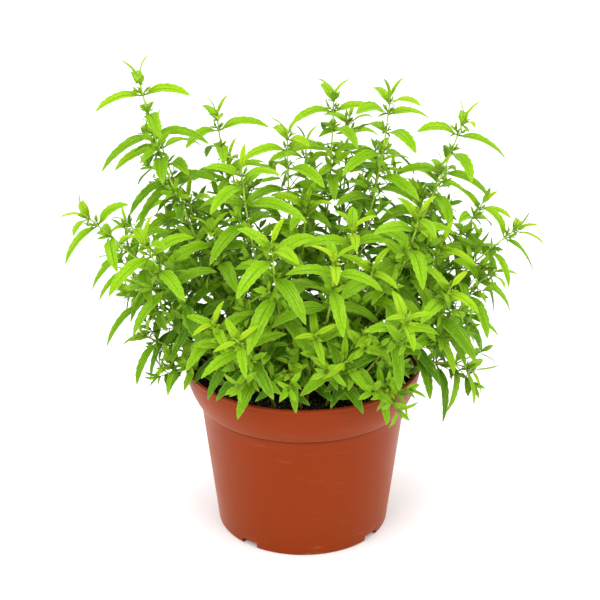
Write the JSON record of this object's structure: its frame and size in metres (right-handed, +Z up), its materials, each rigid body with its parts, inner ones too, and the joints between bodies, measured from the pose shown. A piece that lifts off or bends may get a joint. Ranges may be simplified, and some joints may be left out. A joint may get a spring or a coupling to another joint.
{
  "type": "potted citronella",
  "caption": "Bushy green herb with narrow toothed leaves on many thin stems, growing in a round terracotta-coloured plastic nursery pot.",
  "frame": {"origin": "centre of the pot's foot, on the surface the pot stands on, which is also the middle of the plant's overall box", "axes": "+Z up from the foot to the shoot tips, -Y towards the front of the plant, +X to the viewer's right"},
  "size_m": [0.2721, 0.1962, 0.2851],
  "materials": {
    "pot_plastic": "satin terracotta-coloured polypropylene",
    "potting_soil": "damp dark peat with small crumbs",
    "herb_green": "fresh yellow-green leaf with a soft sheen"
  },
  "bodies": {
    "root": {"pot": "pot_plastic", "soil": "potting_soil", "shoot_01": "herb_green", "shoot_02": "herb_green", "shoot_03": "herb_green", "shoot_04": "herb_green", "shoot_05": "herb_green", "shoot_06": "herb_green", "shoot_07": "herb_green", "shoot_08": "herb_green", "shoot_09": "herb_green", "shoot_10": "herb_green", "shoot_11": "herb_green", "shoot_12": "herb_green", "shoot_13": "herb_green", "shoot_14": "herb_green", "shoot_15": "herb_green", "shoot_16": "herb_green", "shoot_17": "herb_green", "shoot_18": "herb_green", "shoot_19": "herb_green", "shoot_20": "herb_green", "shoot_21": "herb_green", "shoot_22": "herb_green", "shoot_23": "herb_green", "shoot_24": "herb_green", "shoot_25": "herb_green", "shoot_26": "herb_green", "shoot_27": "herb_green", "shoot_28": "herb_green", "shoot_29": "herb_green", "shoot_30": "herb_green", "shoot_31": "herb_green", "shoot_32": "herb_green", "shoot_33": "herb_green", "shoot_34": "herb_green", "shoot_35": "herb_green", "shoot_36": "herb_green", "shoot_37": "herb_green", "shoot_38": "herb_green", "shoot_39": "herb_green", "shoot_40": "herb_green", "shoot_41": "herb_green", "shoot_42": "herb_green", "shoot_43": "herb_green", "shoot_44": "herb_green", "shoot_45": "herb_green", "shoot_46": "herb_green", "shoot_47": "herb_green", "shoot_48": "herb_green", "shoot_49": "herb_green", "shoot_50": "herb_green", "shoot_51": "herb_green", "shoot_52": "herb_green", "shoot_53": "herb_green", "shoot_54": "herb_green", "shoot_55": "herb_green"}
  },
  "joints": []
}
